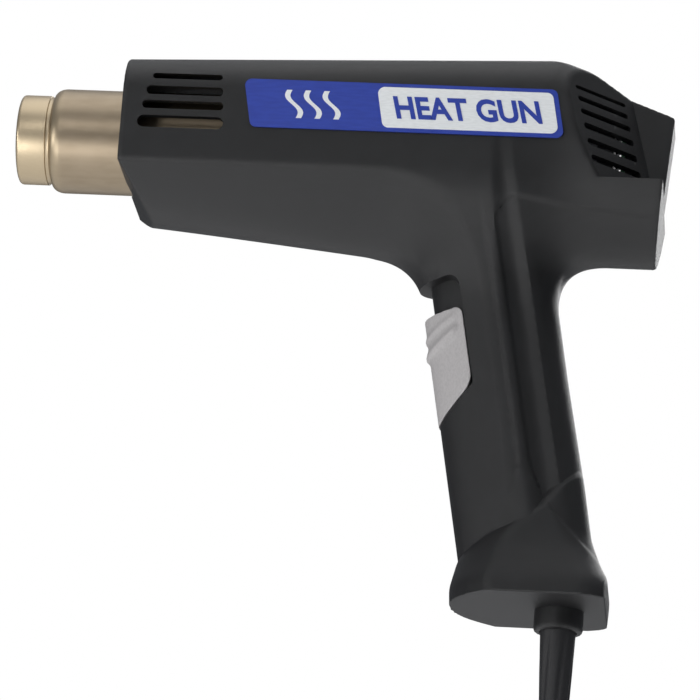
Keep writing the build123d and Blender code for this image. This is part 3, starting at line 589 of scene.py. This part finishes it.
# Screws. Six zinc-plated pan heads in deep counterbores in the right half.
zinc, surface, place = finish_of("zinc_screws", metallic=1.0)
feed(surface, Base_Color=place.node("ShaderNodeTexNoise", None, Scale=300.0).step(0.3, 0.7).mix(
    rgb(120, 122, 126), rgb(168, 170, 174)), Roughness=0.3 + place.node("ShaderNodeTexNoise") * 0.1)
paint(zinc, "clamp_screws")


def node_in(tree, kind, settings=None, **inputs):
    """Adds a geometry node, sets it, and feeds its inputs by name from sockets or plain values."""
    made = tree.nodes.new(kind)
    for name, value in (settings or {}).items():
        setattr(made, name, value)
    for name, value in inputs.items():
        socket = made.inputs[name.replace("_", " ")]
        for item in value if isinstance(value, list) else [value]:
            if isinstance(item, bpy.types.NodeSocket):
                tree.links.new(item, socket)
            else:
                socket.default_value = item
    return made


tree = bpy.data.node_groups.new("cross_screws", "GeometryNodeTree")
tree.interface.new_socket("Spots", in_out="INPUT", socket_type="NodeSocketGeometry")
sizes = {"Head Radius": 0.0029, "Head Height": 0.0024, "Shank Radius": 0.0015, "Shank Length": 0.015,
         "Cross Length": 0.0036, "Cross Width": 0.0008, "Cross Depth": 0.0012}
for name in sizes:
    tree.interface.new_socket(name, in_out="INPUT", socket_type="NodeSocketFloat")
tree.interface.new_socket("Finish", in_out="INPUT", socket_type="NodeSocketMaterial")
tree.interface.new_socket("Screws", in_out="OUTPUT", socket_type="NodeSocketGeometry")
given = tree.nodes.new("NodeGroupInput").outputs


def scaled(size, factor):
    """One of the given sizes, times a factor."""
    product = node_in(tree, "ShaderNodeMath", {"operation": "MULTIPLY"})
    tree.links.new(given[size], product.inputs[0])
    product.inputs[1].default_value = factor
    return product.outputs[0]


raised = node_in(tree, "ShaderNodeCombineXYZ", Z=scaled("Head Height", 0.5))
lowered = node_in(tree, "ShaderNodeCombineXYZ", Z=scaled("Shank Length", -0.5))
crossed = node_in(tree, "ShaderNodeCombineXYZ", Z=given["Head Height"])
deep = scaled("Cross Depth", 2.0)
head = node_in(tree, "GeometryNodeMeshCylinder", Vertices=40, Radius=given["Head Radius"],
               Depth=given["Head Height"])
head = node_in(tree, "GeometryNodeTransform", Geometry=head.outputs["Mesh"], Translation=raised.outputs[0])
arms = []
for x, y in (("Cross Length", "Cross Width"), ("Cross Width", "Cross Length")):
    size = node_in(tree, "ShaderNodeCombineXYZ", X=given[x], Y=given[y], Z=deep)
    arm = node_in(tree, "GeometryNodeMeshCube", Size=size.outputs[0])
    arms.append(node_in(tree, "GeometryNodeTransform", Geometry=arm.outputs["Mesh"],
                        Translation=crossed.outputs[0]).outputs[0])
cut = node_in(tree, "GeometryNodeMeshBoolean", {"operation": "DIFFERENCE"}, Mesh_1=head.outputs[0],
              Mesh_2=arms)
shank = node_in(tree, "GeometryNodeMeshCylinder", Vertices=24, Radius=given["Shank Radius"],
                Depth=given["Shank Length"])
shank = node_in(tree, "GeometryNodeTransform", Geometry=shank.outputs["Mesh"], Translation=lowered.outputs[0])
whole = node_in(tree, "GeometryNodeJoinGeometry", Geometry=[shank.outputs[0], cut.outputs[0]])
spread = node_in(tree, "GeometryNodeInstanceOnPoints", Points=given["Spots"], Instance=whole.outputs[0],
                 Rotation=(math.radians(-90), 0, 0))
real = node_in(tree, "GeometryNodeRealizeInstances", Geometry=spread.outputs[0])
coated = node_in(tree, "GeometryNodeSetMaterial", Geometry=real.outputs[0], Material=given["Finish"])
node_in(tree, "NodeGroupOutput", Screws=coated.outputs[0])
seats = grown("screw_seats", [(x / 1000, 0.005, z / 1000) for x, z in screw_spots], [], zinc, smooth=False)
driven = seats.modifiers.new("screws", "NODES")
driven.node_group = tree
for socket in tree.interface.items_tree:
    if socket.in_out == "INPUT" and socket.name in sizes:
        driven[socket.identifier] = sizes[socket.name]
    if socket.name == "Finish":
        driven[socket.identifier] = zinc
mesh = bpy.data.meshes.new_from_object(seats.evaluated_get(bpy.context.evaluated_depsgraph_get()))
seats.modifiers.remove(driven)
bpy.data.objects.remove(seats)
cross_screws = bpy.data.objects.new("cross_screws", mesh)
bpy.context.scene.collection.objects.link(cross_screws)
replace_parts(cross_screws, "housing_screws")
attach(cross_screws, "tool")


# Nozzle. A deep-drawn stainless tube, 39.6 mm across, necked down to a 34 mm mouth with a pressed groove
# and a rolled lip. It is turned on a lathe, and heat has tinted it straw-bronze.
def turned(name, profile, material, steps=144):
    """A closed ring turned about the nozzle axis, from (x, radius) points in millimetres."""
    points, faces = [], []
    for step in range(steps):
        angle = 2 * math.pi * step / steps
        points += [(x / 1000, r * math.cos(angle) / 1000, (axis_z + r * math.sin(angle)) / 1000)
                   for x, r in profile]
    count = len(profile)
    for step in range(steps):
        here, there = step * count, (step + 1) % steps * count
        for i in range(count):
            after = (i + 1) % count
            faces.append((here + i, here + after, there + after, there + i))
    piece = grown(name, points, faces, material)
    face_outward(piece)
    piece.data.set_sharp_from_angle(angle=math.radians(38))
    return piece


steel, surface, place = finish_of("heated_steel", metallic=1.0)
around_x = place.node("ShaderNodeMapping", None, place, Scale=(5200, 25, 25))
marks = place.node("ShaderNodeTexNoise", None, around_x, Scale=1.0, Detail=2.0)
tint = place.node("ShaderNodeTexNoise", None, Scale=16.0, Detail=1.0)
along = place.node("ShaderNodeSeparateXYZ", None, place, output=0)
# The mouth end, ahead of x = -181 mm, is a lighter straw colour, easing into the bronze by x = -172 mm.
lighter_mouth = 1 - along.step(-0.181, -0.172)
bronze = tint.step(0.25, 0.75).mix(rgb(148, 134, 114), rgb(154, 140, 120))
feed(surface, Base_Color=lighter_mouth.mix(bronze, rgb(186, 170, 143)), Roughness=0.36 + marks * 0.1,
     Normal=bumped(place, marks, 0.000012))
tip_x, mouth_end, mouth_radius, tube_radius, tube_end = -190.9, -178.1, 17.0, 19.8, -68.0
lip_roll, lip_radius, shoulder_run, shoulder_rise = 1.4, 15.6, 4.5, 2.8
lip = [(tip_x + lip_roll - lip_roll * math.cos(a), lip_radius + lip_roll * math.sin(a))
       for a in np.linspace(-1.2, math.pi / 2, 9)]
groove = [(mouth_end - 1.8, mouth_radius), (mouth_end - 1.5, 16.6), (mouth_end - 0.9, 16.45),
          (mouth_end - 0.3, 16.6), (mouth_end, mouth_radius)]
shoulder = [(mouth_end + shoulder_run * (1 - math.cos(a)), mouth_radius + shoulder_rise * math.sin(a))
            for a in np.linspace(0.2, math.pi / 2, 8)]
inside = [(tube_end, tube_radius), (tube_end, 19.0), (mouth_end + shoulder_run, 19.0),
          (mouth_end + 0.8, 15.8), (tip_x + 2.4, 15.8)]
nozzle = turned("nozzle", lip + groove + shoulder + inside, steel)
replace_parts(nozzle, "nozzle_tube")
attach(nozzle, "tool")


# Heater. Wire coils on a finned ceramic former inside a mica sleeve, on a ceramic base.
mica, surface, place = finish_of("mica", Roughness=0.3)
flake = place.node("ShaderNodeTexNoise", None, Scale=260.0, Detail=4.0)
feed(surface, Base_Color=flake.step(0.35, 0.7).mix(rgb(150, 128, 98), rgb(192, 174, 142)),
     Normal=bumped(place, flake, 0.0001))
paint(mica, "mica_sleeve")
ceramic, surface, place = finish_of("cordierite", Roughness=0.75)
pits = place.node("ShaderNodeTexNoise", None, Scale=900.0, Detail=4.0)
feed(surface, Base_Color=pits.step(0.35, 0.7).mix(rgb(214, 206, 190), rgb(232, 226, 214)),
     Normal=bumped(place, pits, 0.00012))
paint(ceramic, "heater_core", "heater_base")
wire, surface, place = finish_of("resistance_wire", metallic=1.0)
oxide = place.node("ShaderNodeTexNoise", None, Scale=900.0, Detail=3.0)
feed(surface, Base_Color=oxide.step(0.35, 0.7).mix(rgb(96, 90, 88), rgb(150, 140, 132)),
     Roughness=0.35 + oxide * 0.2)
paint(wire, "heating_coils", "thermal_cutout")


# Blower and motor. A glass-filled duct, a moulded impeller and a small brushed motor on its board.
duct, surface, place = finish_of("duct_plastic")
flow = place.node("ShaderNodeTexNoise", None, Scale=120.0, Detail=3.0)
feed(surface, Base_Color=flow.step(0.3, 0.7).mix(rgb(178, 170, 152), rgb(196, 190, 174)),
     Roughness=0.45 + flow * 0.15)
paint(duct, "fan_duct", "motor_cradle", "cord_clamp", "clamp_block")
wheel, surface, place = finish_of("impeller_plastic")
feed(surface, Base_Color=place.node("ShaderNodeTexNoise", None, Scale=160.0).step(0.3, 0.7).mix(
    rgb(40, 40, 44), rgb(56, 56, 60)), Roughness=0.4 + place.node("ShaderNodeTexNoise") * 0.1)
paint(wheel, "impeller", "rectifier_diodes", "switch_body", "switch_carriage", "motor_end_cap")
paint(zinc, "motor_can", "motor_shaft", "motor_rotor", "motor_magnets")
paint(brass, "motor_bushes")
board, surface, place = finish_of("circuit_board")
weave = place.node("ShaderNodeTexWave", {"wave_type": "BANDS"}, Scale=900.0)
feed(surface, Base_Color=weave.step(0.2, 0.8).mix(rgb(20, 84, 48), rgb(28, 98, 58)),
     Roughness=0.35 + weave * 0.1)
paint(board, "rectifier_board")


# Switch. A grey slider in its track on the front of the grip, which carries the switch's carriage.
grey, surface, place = finish_of("light_grey_slider", IOR=1.5)
mould = place.node("ShaderNodeTexNoise", None, Scale=2200.0, Detail=2.0)
cast = place.node("ShaderNodeTexNoise", None, Scale=40.0, Detail=2.0)
feed(surface, Base_Color=cast.step(0.3, 0.7).mix(rgb(166, 163, 163), rgb(176, 173, 173)),
     Roughness=0.5 + mould * 0.08, Normal=bumped(place, mould, 0.00006))


slider_skin, edge_round = 3.2, 3.0


def slider_form(x, y, z):
    """Distance from the slider: a skin that follows the grip's nose, with two raised finger ridges."""
    u = np.abs(y)
    into, rise = along_slide(x, z)
    form = bowed(u, grip_half, nose_depth, into)
    fade = 1 - eased(into, 9.5, 12.5)
    proud = 0.5 + 1.2 * fade * np.exp(-((rise - 27.5 - 0.5 * into) / 1.9) ** 2)
    proud = proud + 0.6 * fade * np.exp(-((rise - 33.5 - 0.42 * into) / 1.3) ** 2)
    foot = (into * foot_rise / slider_depth - rise) * math.cos(math.atan(foot_rise / slider_depth))
    edge = rounded(rounded(rise - slider_length, into - slider_depth, edge_round), foot, edge_round)
    skin = rounded(np.maximum(form - proud, -(form + slider_skin)), edge, 0.5)
    stem = np.maximum(np.maximum(np.abs(rise - 23.5) - 3.5, np.abs(into - 9.6) - 7.4), u - 1.9)
    return np.minimum(skin, stem)


points, faces = grown_from_field(slider_form, (-42.0, -24.0, -8.0), (0.0, 24.0, 50.4), 0.7)
slide_cap = grown("slide_cap", points / 1000, faces, grey)
slide_cap.data.set_sharp_from_angle(angle=math.radians(35))
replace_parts(slide_cap, "switch_slider")
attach(slide_cap, "slider")


# Wiring. Silicone-covered leads from the cord to the switch, the board and the heater.
red, surface, place = finish_of("silicone_red", Roughness=0.5)
feed(surface, Base_Color=place.node("ShaderNodeTexNoise", None, Scale=400.0).step(0.3, 0.7).mix(
    rgb(150, 26, 22), rgb(176, 38, 30)))
paint(red, "heater_lead", "motor_lead")
white, surface, place = finish_of("silicone_white", Roughness=0.5)
feed(surface, Base_Color=place.node("ShaderNodeTexNoise", None, Scale=400.0).step(0.3, 0.7).mix(
    rgb(206, 204, 198), rgb(224, 222, 216)))
paint(white, "supply_leads")
blue_case, surface, place = finish_of("capacitor_case")
feed(surface, Base_Color=place.node("ShaderNodeTexNoise", None, Scale=300.0).step(0.3, 0.7).mix(
    rgb(36, 74, 150), rgb(48, 90, 170)), Roughness=0.3 + place.node("ShaderNodeTexNoise") * 0.1)
paint(blue_case, "suppressor")


# Side labels. A printed blue field moulded into each side, with an off-white plate.
blue, surface, place = finish_of("label_blue", IOR=1.5)
print_grain = place.node("ShaderNodeTexNoise", None, Scale=2400.0, Detail=2.0)
tone = place.node("ShaderNodeTexNoise", None, Scale=18.0, Detail=1.0)
feed(surface, Base_Color=tone.step(0.3, 0.7).mix(rgb(20, 50, 150), rgb(26, 57, 160)),
     Roughness=0.32 + print_grain * 0.06, Normal=bumped(place, print_grain, 0.00003))
paint(blue, "left_label", "right_label")
plate_white, surface, place = finish_of("plate_white", IOR=1.5)
shade = place.node("ShaderNodeTexNoise", None, Scale=25.0, Detail=1.0)
feed(surface, Base_Color=shade.step(0.3, 0.7).mix(rgb(222, 225, 226), rgb(230, 233, 234)),
     Roughness=0.36 + shade * 0.05)
paint(plate_white, "left_plate", "right_plate")


def stood_on_side(name, points, faces, centre, lean, face_y, side, material):
    """Flat work in millimetres, (across, up, out), stood on one side of the barrel to read from there."""
    placed = []
    for across, rise, out in points:
        x = centre[0] - side * across - lean * rise
        placed.append((x / 1000, side * (face_y + out) / 1000, (axis_z + centre[1] + rise) / 1000))
    piece = grown(name, placed, faces, material, smooth=False)
    face_outward(piece)
    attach(piece, "tool")
    return piece


lettering = bpy.data.curves.new("lettering", "FONT")
lettering.body = "HEAT GUN"
lettering.extrude, lettering.offset, lettering.shear = 0.005, 0.03, 0.12
lettering.resolution_u = 4
typed = bpy.data.objects.new("lettering", lettering)
bpy.context.scene.collection.objects.link(typed)
bpy.context.view_layer.update()
letters = bpy.data.meshes.new_from_object(typed.evaluated_get(bpy.context.evaluated_depsgraph_get()))
bpy.data.objects.remove(typed)
spots = np.array([vertex.co[:] for vertex in letters.vertices])
low, high = spots.min(axis=0), spots.max(axis=0)
word_length, word_height, ink = 55.0, 9.0, 0.15
size = np.array([word_length, word_height, ink]) / (high - low)
word_points = (spots - (low + high) / 2) * size + np.array([0, 0, ink / 2])
word_faces = [list(face.vertices) for face in letters.polygons]

wave_points, wave_faces = [], []
wave_pitch, wave_swing, wave_height, wave_steps = 7.0, 1.5, 11.0, 24
stroke = ((-1.0, 0), (1.0, 0), (1.0, ink), (-1.0, ink))
for wave in range(3):
    path = [(wave_pitch * (wave - 1) + wave_swing * math.sin(2 * math.pi * s), wave_height * (s - 0.5))
            for s in np.linspace(0, 1, wave_steps + 1)]
    first = len(wave_points)
    for across, rise in path:
        wave_points += [(across + way, rise, out) for way, out in stroke]
    for i in range(wave_steps):
        here = first + 4 * i
        wave_faces += [(here + k, here + (k + 1) % 4, here + 4 + (k + 1) % 4, here + 4 + k) for k in range(4)]
    last = first + 4 * wave_steps
    wave_faces += [(first, first + 1, first + 2, first + 3), tuple(last + k for k in (3, 2, 1, 0))]
words_at, waves_at, italic, plate_face, label_face = (-19.4, 4.95), (-77.0, 4.95), 0.36, 36.8, 36.5
for side, word in ((-1, "left"), (1, "right")):
    letters_piece = stood_on_side(f"{word}_words", word_points, word_faces, words_at, italic, plate_face,
                                  side, blue)
    waves = stood_on_side(f"{word}_waves", wave_points, wave_faces, waves_at, italic, label_face,
                          side, plate_white)
